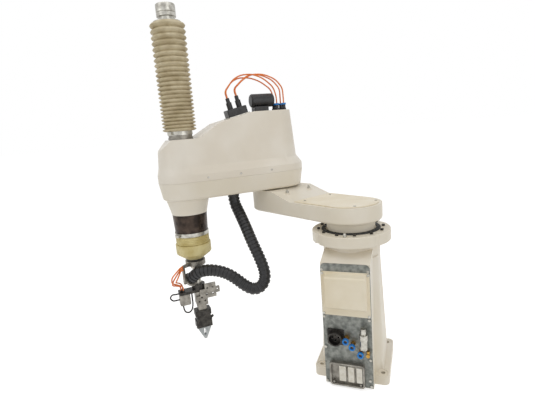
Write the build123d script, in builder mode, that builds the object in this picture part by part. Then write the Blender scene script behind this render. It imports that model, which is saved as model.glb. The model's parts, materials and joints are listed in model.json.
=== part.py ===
"""A four-axis SCARA robot: pedestal, two arms, a ball screw spline under bellows, and a small gripper.

Millimetres. The origin is on the first axis at the foot's underside, +Z up, and the connector panel
faces -X. The arms stand at the angles rest_j1 and rest_j2.
"""

import os
from math import atan2, cos, degrees, hypot, radians, sin, tan

from build123d import *

os.makedirs("parts", exist_ok=True)

# Arm lengths and the pose that the robot rests in.
arm_1_length = 350
arm_2_length = 350
rest_j1 = 59.7
rest_j2 = 73.3
slide_stroke = 200

# Clearances that fitting pieces share.
running_fit = 0.05
seat_gap = 0.3
screw_clearance = 0.25

# Pedestal.
base_height = 474
flange_radius = 124
flange_thickness = 33.5
neck_radius = 90
neck_height = 46
column_half_width = 99
column_front = 92
column_wall = 10
panel_x = 138
panel_half_width = 73.3
panel_height = 397
panel_bottom = 3
panel_corner = 15
panel_sheet = 3
foot_thickness = 30
foot_half_x = 112
foot_half_y = 117
foot_corner = 16
foot_hole_x = 180
foot_hole_y = 195
foot_hole_radius = 7
foot_spot_radius = 14
foot_spot_depth = 1.5
flange_bolt_circle = 103
flange_bolt_count = 12
flange_bolt_head = 5
flange_bolt_rise = 5
seal_inner = 81
seal_outer = 93.5
seal_thickness = 3.5

# First axis drive.
j1_reducer_radius = 74
j1_reducer_depth = 78
j1_motor_radius = 50
j1_motor_length = 150

# Arm 1.
spigot_radius = 77
spigot_rise = 30
arm_1_root_radius = 100
arm_1_tip_radius = 99
arm_1_depth = 52
arm_1_edge = 9
riser_height = 29
riser_start = 178
riser_radius = 84
cover_inset = 11
cover_1_sheet = 3
cover_screw_radius = 4
cover_screw_rise = 2.5
stop_bolt_radius = 6
stop_bolt_rise = 12
j2_gap = 5
output_radius = 55
output_depth = 12

# Arm 2: the lower casting and the upper cover.
arm_2_root_radius = 97
arm_2_tip_radius = 93.5
casting_depth = 61
casting_taper = 9
casting_edge = 10
casting_wall = 9
casting_floor = 12
cone_length = 54
cone_top_radius = 75
cone_bottom_radius = 61.5
skirt_height = 24
shoulder_height = 28
hood_root_radius = 77
hood_tip_radius = 87
hood_taper = 4.5
hood_height = 219
hood_wall = 4
hood_edge = 9
neck_deck_height = 143
j2_reducer_radius = 62
j2_reducer_length = 46
j2_motor_radius = 45
j2_motor_length = 130

# Ball screw spline, its nuts and their drive.
shaft_radius = 12.5
nut_radius = 36
nut_length = 50
nut_flange_radius = 42
pulley_radius = 36
pulley_width = 18
belt_thickness = 2.2
motor_pulley_radius = 18
motor_shaft_radius = 7
axis_motor_side = 60
axis_motor_length = 110
turn_motor_s = 122
lift_motor_s = 205
drive_plate_sheet = 10
drive_plate_start = 80
drive_plate_end = 396
drive_plate_half_width = 56
post_radius = 5
post_t = 50

# Bellows and what they seat on.
collar_radius = 40
collar_height = 28
clamp_height = 13
clamp_thickness = 2
clamp_screw_box = (16, 12, 10)
upper_bellows_length = 350
upper_fold_radius = 58
upper_root_radius = 45
upper_fold_count = 25
bellows_bore = 30
cap_neck_radius = 24
cap_neck_height = 17
cap_radius = 31.7
cap_height = 40
sleeve_top_radius = 61
sleeve_bottom_radius = 57
sleeve_length = 78
lower_fold_count = 5
lower_fold_pitch = 6.5
lower_fold_radius = 59.5
cup_radius = 62.5
cup_height = 36
cup_cone_height = 22
lower_collar_radius = 30
lower_collar_height = 24

# Conduit.
conduit_radius = 21
gland_radius = 27
gland_height = 12

# Tool.
plain_shaft_length = 76
hub_radius = 24
hub_height = 18
tool_plate_sheet = 10
finger_stroke = 6
finger_gap = 0.6

# Heights that follow from the stack of pieces.
arm_1_bottom = base_height + spigot_rise
arm_1_top = arm_1_bottom + arm_1_depth
riser_top = arm_1_top + riser_height
arm_2_bottom = riser_top + j2_gap
seam = arm_2_bottom + casting_depth
deck = seam + neck_deck_height
hood_top = seam + hood_height
upper_bellows_bottom = deck + collar_height
upper_bellows_top = upper_bellows_bottom + upper_bellows_length
cap_bottom = upper_bellows_top + cap_neck_height
shaft_top = cap_bottom + cap_height - 12
sleeve_top = arm_2_bottom - cone_length
sleeve_bottom = sleeve_top - sleeve_length
cup_top = sleeve_bottom - lower_fold_count * lower_fold_pitch
cup_bottom = cup_top - cup_height
lower_bellows_bottom = cup_bottom - cup_cone_height
collar_bottom = lower_bellows_bottom - lower_collar_height
hub_top = collar_bottom - plain_shaft_length
hub_bottom = hub_top - hub_height
shaft_bottom = hub_bottom
tool_plate_bottom = hub_bottom - tool_plate_sheet

arm_2_angle = rest_j1 + rest_j2
elbow = Vector(arm_1_length, 0, 0).rotate(Axis.Z, rest_j1)
forearm = Vector(1, 0, 0).rotate(Axis.Z, arm_2_angle)
forearm_side = Vector(0, 1, 0).rotate(Axis.Z, arm_2_angle)
spline_axis = elbow + forearm * arm_2_length


def arm_1_plane(z, s=0, t=0):
    """A level plane whose x runs along arm 1 from the first axis, and y to the arm's left."""
    along = Vector(1, 0, 0).rotate(Axis.Z, rest_j1)
    left = Vector(0, 1, 0).rotate(Axis.Z, rest_j1)
    return Plane(along * s + left * t + Vector(0, 0, z), along, (0, 0, 1))


def arm_2_plane(z, s=0, t=0):
    """A level plane whose x runs along arm 2 from the second axis."""
    return Plane(elbow + forearm * s + forearm_side * t + Vector(0, 0, z), forearm, (0, 0, 1))


def arm_2_side(z=0, s=0, t=0):
    """An upright plane along arm 2: x along the arm, y upward."""
    return Plane(elbow + forearm * s + forearm_side * t + Vector(0, 0, z), forearm, -forearm_side)


def tool_plane(z, x=0, y=0):
    """A level plane at the spline shaft."""
    return arm_2_plane(z, arm_2_length + x, y)


def tool_side(z=0, x=0, y=0):
    """An upright plane at the spline shaft, facing away from the tool's front."""
    return arm_2_side(z, arm_2_length + x, y)


def panel_plane(y, z, proud=0):
    """A plane on the connector panel that faces -X: its x is to the viewer's right, its y is up."""
    return Plane((-panel_x - panel_sheet - proud, y, z), (0, -1, 0), (-1, 0, 0))


def link_outline(root_radius, tip_radius, length):
    """Two round ends joined by tangent sides, in the sketch at hand."""
    Circle(root_radius)
    with Locations((length, 0)):
        Circle(tip_radius)
    make_hull()


def finish(piece, name):
    """Label a finished piece and write it."""
    piece.part.label = name
    export_step(piece.part, f"parts/{name}.step")


def cord_route(name, points, diameter):
    """The corner radii of a cord's route, each as large as its two runs allow."""
    corners = []
    spots = [Vector(*p) for p in points]
    for before, at, after in zip(spots, spots[1:], spots[2:]):
        turn = radians((at - before).get_angle(after - at))
        corners.append(0.45 * min((at - before).length, (after - at).length) / tan(turn / 2))
    length = sum((b - a).length for a, b in zip(spots, spots[1:]))
    print(f"{name}: about {length:.0f} mm, radii", [round(r) for r in corners], "diameter", diameter)
    return spots, corners


def cord_tube(points, corners, radius):
    """A round tube along straight runs joined by tangent arcs."""
    with BuildPart() as tube:
        with BuildLine() as route:
            FilletPolyline(*points, radius=corners)
        with BuildSketch(Plane(route.wire() @ 0, z_dir=route.wire() % 0)):
            Circle(radius)
        sweep(path=route.wire())
    return tube


# Pedestal casting: foot, tapered column, panel housing, neck and flange, open at the panel side.
flange_bottom = base_height - flange_thickness
shoulder_top = flange_bottom - 20
housing_top = panel_bottom + panel_height
with BuildPart() as base_casting:
    with BuildSketch():
        RectangleRounded(2 * foot_half_x, 2 * foot_half_y, foot_corner)
    extrude(amount=foot_thickness)
    with BuildSketch(Plane.XY.offset(foot_thickness)):
        RectangleRounded(2 * column_front, 2 * column_half_width, 30)
    with BuildSketch(Plane.XY.offset(flange_bottom - neck_height)):
        RectangleRounded(2 * (neck_radius - 8), 2 * (neck_radius - 3), 60)
    loft()
    with BuildSketch(Plane.XY.offset(foot_thickness)):
        with Locations((-panel_x / 2 - 10, 0)):
            Rectangle(panel_x - 20, 2 * panel_half_width)
    extrude(amount=housing_top - foot_thickness)
    with BuildSketch(Plane.XY):
        with Locations((-panel_x / 2 - 10, 0)):
            Rectangle(panel_x - 20, 2 * panel_half_width)
    extrude(amount=foot_thickness)
    with BuildSketch(Plane.XZ):
        with BuildLine():
            Polyline((0, housing_top), (-panel_x, housing_top), (-neck_radius + 12, shoulder_top), (0, shoulder_top), close=True)
        make_face()
    extrude(amount=panel_half_width, both=True)
    with BuildSketch(Plane.XY.offset(flange_bottom - neck_height)):
        Circle(neck_radius)
    extrude(amount=neck_height)
    with BuildSketch(Plane.XY.offset(flange_bottom)):
        Circle(flange_radius)
    extrude(amount=flange_thickness)
    fillet(base_casting.edges().filter_by(GeomType.CIRCLE).group_by(Axis.Z)[-1], 3)
    with BuildSketch(Plane.XY.offset(foot_thickness + 8)):
        RectangleRounded(2 * (column_front - column_wall), 2 * (column_half_width - column_wall), 22)
    with BuildSketch(Plane.XY.offset(flange_bottom - neck_height)):
        RectangleRounded(2 * (neck_radius - 8 - column_wall), 2 * (neck_radius - 3 - column_wall), 50)
    loft(mode=Mode.SUBTRACT)
    with BuildSketch(Plane.YZ.offset(-panel_x)):
        with Locations((0, (foot_thickness + 8 + housing_top - column_wall) / 2)):
            RectangleRounded(2 * (panel_half_width - column_wall), housing_top - column_wall - foot_thickness - 8, 6)
    extrude(amount=panel_x - 30, mode=Mode.SUBTRACT)
    with BuildSketch(Plane.XY.offset(flange_bottom - neck_height)):
        Circle(j1_reducer_radius)
    extrude(amount=neck_height + flange_thickness, mode=Mode.SUBTRACT)
    with Locations((0, 0, foot_thickness)):
        with GridLocations(foot_hole_x, foot_hole_y, 2, 2):
            CounterBoreHole(foot_hole_radius, foot_spot_radius, foot_spot_depth)
finish(base_casting, "base_casting")

# Socket head bolts round the flange, one place left free for the stop.
with BuildPart() as flange_bolts:
    with BuildSketch(Plane.XY.offset(base_height)):
        with PolarLocations(flange_bolt_circle, flange_bolt_count, start_angle=15):
            Circle(flange_bolt_head)
        with PolarLocations(flange_bolt_circle, flange_bolt_count, start_angle=15):
            RegularPolygon(flange_bolt_head * 0.45, 6, mode=Mode.SUBTRACT)
    extrude(amount=flange_bolt_rise)
    with BuildSketch(Plane.XY.offset(base_height)):
        with PolarLocations(flange_bolt_circle, flange_bolt_count, start_angle=15):
            Circle(flange_bolt_head)
    extrude(amount=flange_bolt_rise / 2)
finish(flange_bolts, "flange_bolts")

# Stop bolt of the first axis, upright in the flange ahead of the panel.
stop_circle = flange_radius - 12
with BuildPart() as j1_stop_bolt:
    with BuildSketch(Plane((-stop_circle, 0, base_height))):
        RegularPolygon(stop_bolt_radius, 6)
    extrude(amount=stop_bolt_rise / 2)
    with BuildSketch(Plane((-stop_circle, 0, base_height))):
        Circle(stop_bolt_radius * 0.7)
    extrude(amount=stop_bolt_rise)
finish(j1_stop_bolt, "j1_stop_bolt")

# Rubber seal ring on the flange, round the arm's spigot.
with BuildPart() as base_seal_ring:
    with BuildSketch(Plane.XY.offset(base_height)):
        Circle(seal_outer)
        Circle(seal_inner, mode=Mode.SUBTRACT)
    extrude(amount=seal_thickness)
    chamfer(base_seal_ring.edges().group_by(Axis.Z)[-1].sort_by(SortBy.LENGTH)[-1], 2)
finish(base_seal_ring, "base_seal_ring")

# Strain wave reducer of the first axis, in the flange's bore, with its output face at the top.
with BuildPart() as j1_reducer:
    with BuildSketch(Plane.XY.offset(base_height)):
        Circle(j1_reducer_radius)
    extrude(amount=-j1_reducer_depth)
    with BuildSketch(Plane.XY.offset(base_height - j1_reducer_depth)):
        Circle(j1_reducer_radius - 16)
    extrude(amount=-8)
finish(j1_reducer, "j1_reducer")

# Servo motor of the first axis, hanging under the reducer.
j1_motor_top = base_height - j1_reducer_depth - 8
with BuildPart() as j1_motor:
    with BuildSketch(Plane.XY.offset(j1_motor_top)):
        RectangleRounded(2 * j1_motor_radius, 2 * j1_motor_radius, 14)
    extrude(amount=-j1_motor_length)
    with BuildSketch(Plane.XY.offset(j1_motor_top - j1_motor_length)):
        Circle(j1_motor_radius * 0.8)
    extrude(amount=-40)
finish(j1_motor, "j1_motor")

# Galvanised connector panel, screwed over the housing's open side.
plate_centre = panel_bottom + panel_height / 2
with BuildPart() as panel_plate:
    with BuildSketch(panel_plane(0, plate_centre, -panel_sheet)):
        Rectangle(2 * panel_half_width, panel_height)
    extrude(amount=panel_sheet)
    fillet(panel_plate.edges().filter_by(Axis.X).group_by(Axis.Z)[-1], panel_corner)
finish(panel_plate, "panel_plate")

# Pan head screws of the panel and of the box on it.
panel_screw_spots = [
    (68.5, 380.5), (-67.5, 380.5), (68.5, 228.5), (-67.5, 228.5), (68.5, 126), (-67.5, 98),
    (68.5, 9), (-67.5, 9), (-64, 28),
]
box_flange_sheet = 3
box_half_width = 72
box_bottom = 236
box_flange_height = 140
box_screw_y = 67.5
box_screw_low = 241.5
box_screw_high = 370.5
panel_screw_radius = 4
panel_screw_rise = 2.6
with BuildPart() as panel_screws:
    for spot in panel_screw_spots:
        with BuildSketch(panel_plane(*spot)):
            Circle(panel_screw_radius)
        extrude(amount=panel_screw_rise)
    for y in (-box_screw_y, box_screw_y):
        for z in (box_screw_low, box_screw_high):
            with BuildSketch(panel_plane(y, z, box_flange_sheet)):
                Circle(panel_screw_radius)
            extrude(amount=panel_screw_rise)
finish(panel_screws, "panel_screws")

# Cream connector box: a flange with a raised cover whose underside slopes.
raised_left = 58
raised_right = 63
raised_bottom = 270
raised_top = 370
raised_depth = 26
raised_slope = 12
with BuildPart() as connector_box:
    with BuildSketch(panel_plane(0, box_bottom + box_flange_height / 2)):
        RectangleRounded(2 * box_half_width, box_flange_height, 6)
    extrude(amount=box_flange_sheet)
    with BuildSketch(Plane.XZ.offset(-raised_left)):
        with BuildLine():
            front = -panel_x - panel_sheet - box_flange_sheet
            Polyline(
                (front, raised_bottom - raised_slope),
                (front, raised_top),
                (front - raised_depth, raised_top - 3),
                (front - raised_depth, raised_bottom),
                close=True,
            )
        make_face()
    extrude(amount=raised_left + raised_right)
    fillet(connector_box.edges().filter_by(Axis.Y).group_by(Axis.X)[0], 7)
    raised_sides = connector_box.faces().filter_by(Axis.Y).group_by(SortBy.AREA)[-1]
    fillet(raised_sides.edges().group_by(Axis.X)[0], 4)
finish(connector_box, "connector_box")

# Round power connector: a square flange and a bayonet barrel.
power_y = 35.3
power_z = 164.5
power_flange = 51
power_flange_sheet = 4
power_barrel_radius = 22
power_mouth_radius = 18
power_barrel_length = 18
with BuildPart() as power_connector:
    with BuildSketch(panel_plane(power_y, power_z)):
        RectangleRounded(power_flange, power_flange, 4)
    extrude(amount=power_flange_sheet)
    with BuildSketch(panel_plane(power_y, power_z, power_flange_sheet)):
        Circle(power_barrel_radius)
    extrude(amount=power_barrel_length)
    with BuildSketch(panel_plane(power_y, power_z, power_flange_sheet + power_barrel_length)):
        Circle(power_mouth_radius)
    extrude(amount=-power_barrel_length + 2, mode=Mode.SUBTRACT)
    with BuildSketch(panel_plane(power_y, power_z, power_flange_sheet + 2)):
        with PolarLocations(power_mouth_radius * 0.5, 4):
            Circle(2)
    extrude(amount=8)
finish(power_connector, "power_connector")

# Rectangular multipole connector: a hood frame with a lip, and its two jack screws.
frame_y = 4
frame_z = 44
frame_width = 106
frame_height = 76
frame_depth = 14
frame_wall = 5
jack_screw_spots = [(45, 17), (-37, 17)]
with BuildPart() as multipole_connector:
    with BuildSketch(panel_plane(frame_y, frame_z)):
        RectangleRounded(frame_width, frame_height, 8)
    extrude(amount=frame_depth)
    with BuildSketch(panel_plane(frame_y, frame_z, frame_depth)):
        RectangleRounded(frame_width - 2 * frame_wall, frame_height - 2 * frame_wall, 5)
    extrude(amount=-frame_depth + 3, mode=Mode.SUBTRACT)
    for spot in jack_screw_spots:
        with BuildSketch(panel_plane(*spot, 3)):
            Circle(3.5)
        extrude(amount=frame_depth - 3)
finish(multipole_connector, "multipole_connector")

# Pale contact inserts standing in the frame, and the slim one beside them.
insert_depth = 12
insert_height = 50
insert_z = frame_z + 5
with BuildPart() as connector_inserts:
    for y, width in ((17, 20), (-9, 18), (-34, 17)):
        with BuildSketch(panel_plane(y, insert_z, 3)):
            RectangleRounded(width, insert_height, 2)
        extrude(amount=insert_depth)
finish(connector_inserts, "connector_inserts")

# Air fittings: three push-in bodies and a small brass elbow beside them.
fitting_spots = [(1.5, 165), (-17, 149), (-41, 127)]
fitting_body_radius = 7
fitting_body_length = 22
fitting_nut_radius = 8
fitting_nut_length = 8
ring_radius = 9.5
ring_length = 8
elbow_spot = (-61, 118)
elbow_reach = 14
elbow_rise = 14
elbow_foot_radius = 5.5
elbow_pipe_radius = 4.5
with BuildPart() as air_fittings:
    for spot in fitting_spots:
        with BuildSketch(panel_plane(*spot)):
            RegularPolygon(fitting_nut_radius, 6)
        extrude(amount=fitting_nut_length)
        with BuildSketch(panel_plane(*spot)):
            Circle(fitting_body_radius)
        extrude(amount=fitting_body_length)
    with BuildSketch(panel_plane(*elbow_spot)):
        Circle(elbow_foot_radius)
    extrude(amount=elbow_reach)
    with BuildSketch(Plane((-panel_x - panel_sheet - elbow_reach / 2, *elbow_spot))):
        Circle(elbow_pipe_radius)
    extrude(amount=elbow_rise)
finish(air_fittings, "air_fittings")

# Blue release rings on the push-in fittings.
with BuildPart() as air_fitting_rings:
    for spot in fitting_spots:
        with BuildSketch(panel_plane(*spot, fitting_body_length)):
            Circle(ring_radius)
            Circle(ring_radius - 4, mode=Mode.SUBTRACT)
        extrude(amount=ring_length)
finish(air_fitting_rings, "air_fitting_rings")

# Exhaust silencer: a sintered cylinder under a dark collar, upright on a brass stub.
silencer_y = -50
silencer_top = 209
silencer_offset = 17
silencer_radius = 11
silencer_collar_radius = 12.5
silencer_neck_radius = 8
stub_radius = 5.5
silencer_spot = (-panel_x - panel_sheet - silencer_offset, silencer_y)
with BuildPart() as exhaust_silencer:
    with BuildSketch(Plane((*silencer_spot, silencer_top))):
        Circle(silencer_neck_radius)
    extrude(amount=-20)
    with BuildSketch(Plane((*silencer_spot, silencer_top - 19))):
        Circle(silencer_collar_radius)
    extrude(amount=-18)
    with BuildSketch(Plane((*silencer_spot, silencer_top - 37))):
        Circle(silencer_radius)
    extrude(amount=-31)
    fillet(exhaust_silencer.edges().group_by(Axis.Z)[0], 3)
    with BuildSketch(panel_plane(silencer_y, silencer_top - 12)):
        Circle(stub_radius)
    extrude(amount=silencer_offset)
finish(exhaust_silencer, "exhaust_silencer")

# Arm 1 casting: a link with round ends, a spigot below and a raised end that carries the second axis.
ramp_run = 95
pocket_inset = 26
pocket_depth = 36
pocket_length = 86
stop_s = 236
stop_t = 54
stop_boss_radius = 9
stop_boss_rise = 5
stop_foot = arm_1_top + (stop_s - riser_start) * riser_height / ramp_run - stop_boss_rise / 2
with BuildPart() as arm_1_casting:
    with BuildSketch(arm_1_plane(arm_1_bottom)):
        link_outline(arm_1_root_radius, arm_1_tip_radius, arm_1_length)
    extrude(amount=arm_1_depth)
    fillet(arm_1_casting.edges().group_by(Axis.Z)[0], arm_1_edge)
    with BuildSketch(arm_1_plane(arm_1_top)):
        link_outline(arm_1_root_radius, arm_1_tip_radius, arm_1_length)
    extrude(amount=riser_height)
    upright = Plane(arm_1_plane(0).origin, arm_1_plane(0).x_dir, -arm_1_plane(0).y_dir)
    with BuildSketch(upright):
        with BuildLine():
            Polyline(
                (-arm_1_root_radius - 5, arm_1_top),
                (riser_start, arm_1_top),
                (riser_start + ramp_run, riser_top),
                (riser_start + ramp_run, riser_top + 5),
                (-arm_1_root_radius - 5, riser_top + 5),
                close=True,
            )
        make_face()
    extrude(amount=arm_1_root_radius + 10, both=True, mode=Mode.SUBTRACT)
    with BuildSketch(arm_1_plane(arm_1_bottom)):
        Circle(spigot_radius)
    extrude(amount=-spigot_rise)
    with BuildSketch(arm_1_plane(riser_top, arm_1_length)):
        Circle(output_radius)
    extrude(amount=-output_depth, mode=Mode.SUBTRACT)
    with BuildSketch(arm_1_plane(arm_1_top)):
        link_outline(arm_1_root_radius - pocket_inset, arm_1_root_radius - pocket_inset, pocket_length)
    extrude(amount=-pocket_depth, mode=Mode.SUBTRACT)
    with BuildSketch(arm_1_plane(stop_foot)):
        with Locations((stop_s, stop_t), (stop_s, -stop_t)):
            Circle(stop_boss_radius)
    extrude(amount=stop_boss_rise)
finish(arm_1_casting, "arm_1_casting")

# Flat cover on arm 1, held by four screws.
cover_length = 165
cover_screw_spots = [(-62, 52), (-62, -52), (140, 62), (140, -62)]
with BuildPart() as arm_1_cover:
    with BuildSketch(arm_1_plane(arm_1_top)):
        link_outline(arm_1_root_radius - cover_inset, arm_1_root_radius - cover_inset, arm_1_length)
        with Locations((cover_length + arm_1_length, 0)):
            Rectangle(2 * arm_1_length, 3 * arm_1_root_radius, mode=Mode.SUBTRACT)
    extrude(amount=cover_1_sheet)
finish(arm_1_cover, "arm_1_cover")

with BuildPart() as arm_1_cover_screws:
    with BuildSketch(arm_1_plane(arm_1_top + cover_1_sheet)):
        with Locations(*cover_screw_spots):
            Circle(cover_screw_radius)
    extrude(amount=cover_screw_rise)
finish(arm_1_cover_screws, "arm_1_cover_screws")

# Hexagon stop bolts of the second axis, one on each side of the raised end.
with BuildPart() as j2_stop_bolts:
    for side in (-1, 1):
        with BuildSketch(arm_1_plane(stop_foot + stop_boss_rise, stop_s, side * stop_t)):
            RegularPolygon(stop_bolt_radius, 6)
        extrude(amount=stop_bolt_rise / 2)
        with BuildSketch(arm_1_plane(stop_foot + stop_boss_rise, stop_s, side * stop_t)):
            Circle(stop_bolt_radius * 0.7)
        extrude(amount=stop_bolt_rise)
finish(j2_stop_bolts, "j2_stop_bolts")

# Output flange of the second axis: it stands in arm 1's recess and turns in arm 2's bore.
with BuildPart() as j2_output_flange:
    with BuildSketch(arm_1_plane(riser_top - output_depth, arm_1_length)):
        Circle(output_radius)
    extrude(amount=output_depth + j2_gap + casting_floor)
finish(j2_output_flange, "j2_output_flange")

# Arm 2 lower casting: a tapered tray with the cone that carries the spline below its tip.
tray_floor = arm_2_bottom + casting_floor
with BuildPart() as arm_2_casting:
    with BuildSketch(arm_2_plane(seam)):
        link_outline(arm_2_root_radius, arm_2_tip_radius, arm_2_length)
    extrude(amount=-casting_depth, taper=casting_taper)
    fillet(arm_2_casting.edges().group_by(Axis.Z)[0], casting_edge)
    with BuildSketch(arm_2_side(0, arm_2_length)):
        with BuildLine():
            Polyline(
                (0, sleeve_top),
                (cone_bottom_radius, sleeve_top),
                (cone_top_radius, arm_2_bottom),
                (cone_top_radius, tray_floor),
                (0, tray_floor),
                close=True,
            )
        make_face()
    revolve(axis=Axis(arm_2_side(0, arm_2_length).origin, (0, 0, 1)))
    with BuildSketch(arm_2_plane(seam)):
        link_outline(arm_2_root_radius - casting_wall, arm_2_tip_radius - casting_wall, arm_2_length)
    extrude(amount=-(casting_depth - casting_floor), taper=casting_taper, mode=Mode.SUBTRACT)
    with BuildSketch(arm_2_plane(tray_floor)):
        Circle(output_radius + running_fit)
        with Locations((arm_2_length, 0)):
            Circle(nut_radius + running_fit)
    extrude(amount=-casting_floor - cone_length, mode=Mode.SUBTRACT)
finish(arm_2_casting, "arm_2_casting")

# Reducer and servo motor of the second axis, standing in the tray over the output flange.
with BuildPart() as j2_reducer:
    with BuildSketch(arm_2_plane(tray_floor)):
        Circle(j2_reducer_radius)
    extrude(amount=j2_reducer_length)
finish(j2_reducer, "j2_reducer")

with BuildPart() as j2_motor:
    with BuildSketch(arm_2_plane(tray_floor + j2_reducer_length)):
        RectangleRounded(2 * j2_motor_radius, 2 * j2_motor_radius, 12)
    extrude(amount=j2_motor_length)
    with BuildSketch(arm_2_plane(tray_floor + j2_reducer_length + j2_motor_length)):
        Circle(j2_motor_radius * 0.8)
    extrude(amount=22)
finish(j2_motor, "j2_motor")

# Drive plate on four posts over the tray floor: it carries the two upright motors and the screw nut.
turn_pulley_z = tray_floor + 3
lift_pulley_z = turn_pulley_z + pulley_width + 12
drive_plate_z = lift_pulley_z + pulley_width + 6
post_spots = [(drive_plate_start + 8, post_t), (drive_plate_end - 8, post_t)]
with BuildPart() as drive_plate:
    with BuildSketch(arm_2_plane(drive_plate_z, (drive_plate_start + drive_plate_end) / 2)):
        RectangleRounded(drive_plate_end - drive_plate_start, 2 * drive_plate_half_width, 12)
    extrude(amount=drive_plate_sheet)
    with BuildSketch(arm_2_plane(tray_floor)):
        for s, t in post_spots:
            with Locations((s, t), (s, -t)):
                Circle(post_radius)
    extrude(amount=drive_plate_z - tray_floor)
    with BuildSketch(arm_2_plane(drive_plate_z)):
        with Locations((arm_2_length, 0)):
            Circle(nut_radius + running_fit)
        with Locations((turn_motor_s, 0), (lift_motor_s, 0)):
            Circle(motor_shaft_radius + 3)
    extrude(amount=drive_plate_sheet, mode=Mode.SUBTRACT)
finish(drive_plate, "drive_plate")

# The two upright motors, bored for their rotors.
drive_plate_top = drive_plate_z + drive_plate_sheet
rotor_depth = 40
with BuildPart() as axis_motors:
    for s in (turn_motor_s, lift_motor_s):
        with BuildSketch(arm_2_plane(drive_plate_top, s)):
            RectangleRounded(axis_motor_side, axis_motor_side, 6)
        extrude(amount=axis_motor_length)
        with BuildSketch(arm_2_plane(drive_plate_top, s)):
            Circle(motor_shaft_radius + running_fit)
        extrude(amount=rotor_depth, mode=Mode.SUBTRACT)
finish(axis_motors, "axis_motors")


def motor_pulley(s, pulley_z):
    """A motor's shaft with the belt pulley on its lower end."""
    with BuildPart() as pulley:
        with BuildSketch(arm_2_plane(pulley_z, s)):
            Circle(motor_pulley_radius)
        extrude(amount=pulley_width)
        with BuildSketch(arm_2_plane(pulley_z, s)):
            Circle(motor_shaft_radius)
        extrude(amount=drive_plate_top + rotor_depth - seat_gap - pulley_z)
    return pulley


turn_motor_pulley = motor_pulley(turn_motor_s, turn_pulley_z)
finish(turn_motor_pulley, "turn_motor_pulley")
lift_motor_pulley = motor_pulley(lift_motor_s, lift_pulley_z)
finish(lift_motor_pulley, "lift_motor_pulley")


def nut_with_pulley(body_bottom, body_top, pulley_z):
    """A shaft nut: its round body, and its toothed belt pulley, with the shaft's running bore."""
    with BuildPart() as nut:
        with BuildSketch(arm_2_plane(body_bottom, arm_2_length)):
            Circle(nut_radius)
        extrude(amount=body_top - body_bottom)
        with BuildSketch(arm_2_plane(pulley_z, arm_2_length)):
            Circle(pulley_radius)
        extrude(amount=pulley_width)
        with BuildSketch(arm_2_plane(body_bottom, arm_2_length)):
            Circle(shaft_radius + running_fit)
        extrude(amount=body_top - body_bottom, mode=Mode.SUBTRACT)
    return nut


# Spline nut in the cone's bore, and screw nut in the drive plate.
spline_nut_bottom = turn_pulley_z - nut_length
spline_nut = nut_with_pulley(spline_nut_bottom, turn_pulley_z + pulley_width, turn_pulley_z)
finish(spline_nut, "spline_nut")
screw_nut = nut_with_pulley(lift_pulley_z, lift_pulley_z + nut_length, lift_pulley_z)
finish(screw_nut, "screw_nut")

# Toothed belts between the motor pulleys and the nuts.
belt_width = pulley_width - 4
with BuildPart() as drive_belts:
    for s, pulley_z in ((turn_motor_s, turn_pulley_z), (lift_motor_s, lift_pulley_z)):
        span = arm_2_length - s
        with BuildSketch(arm_2_plane(pulley_z + 2, s)):
            link_outline(
                motor_pulley_radius + seat_gap + belt_thickness,
                pulley_radius + seat_gap + belt_thickness,
                span,
            )
        extrude(amount=belt_width)
        with BuildSketch(arm_2_plane(pulley_z + 2, s)):
            link_outline(motor_pulley_radius + seat_gap, pulley_radius + seat_gap, span)
        extrude(amount=belt_width, mode=Mode.SUBTRACT)
finish(drive_belts, "drive_belts")


def hood(inset, height, deck_height, mode):
    """The cover's moulded form over the seam, shrunk by inset, added to or cut from the part at hand."""
    with BuildPart(mode=Mode.PRIVATE) as form:
        with BuildSketch(arm_2_plane(seam)):
            link_outline(arm_2_root_radius - inset, arm_2_tip_radius - inset, arm_2_length)
        extrude(amount=skirt_height - inset / 2)
        shoulder_foot = seam + skirt_height - inset / 2
        with BuildSketch(arm_2_plane(shoulder_foot)):
            link_outline(arm_2_root_radius - inset, arm_2_tip_radius - inset, arm_2_length)
        with BuildSketch(arm_2_plane(shoulder_foot + shoulder_height)):
            link_outline(hood_root_radius - inset, hood_tip_radius - inset, arm_2_length)
        loft(ruled=True)
        with BuildSketch(arm_2_plane(shoulder_foot + shoulder_height)):
            link_outline(hood_root_radius - inset, hood_tip_radius - inset, arm_2_length)
        extrude(amount=hood_height, taper=hood_taper)
        nose = arm_2_length + arm_2_tip_radius + 20
        with BuildSketch(arm_2_side(seam)):
            with BuildLine():
                Polyline(
                    (-arm_2_root_radius - 20, -1),
                    (-arm_2_root_radius - 20, height),
                    (crown_end, height),
                    (crown_end + slope_run, height - slope_drop),
                    (arm_2_length - 44, deck_height),
                    (arm_2_length + 44, deck_height),
                    (arm_2_length + 80, deck_height - nose_drop),
                    (nose, 0),
                    (nose, -1),
                    close=True,
                )
            make_face()
        extrude(amount=arm_2_root_radius + 20, both=True, mode=Mode.INTERSECT)
    add(form.part, mode=mode)


# Moulded upper cover of arm 2: a skirt, a shoulder and a hood whose back slopes down to the bellows deck.
crown_end = 96
slope_run = 130
slope_drop = 30
nose_drop = 34
with BuildPart() as arm_2_cover:
    hood(0, hood_height, neck_deck_height, Mode.ADD)
    hood(hood_wall, hood_height - hood_wall, neck_deck_height - hood_wall, Mode.SUBTRACT)
    with BuildSketch(arm_2_plane(deck, arm_2_length)):
        Circle(shaft_radius + 6)
    extrude(amount=-3 * hood_wall, mode=Mode.SUBTRACT)
finish(arm_2_cover, "arm_2_cover")

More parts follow.
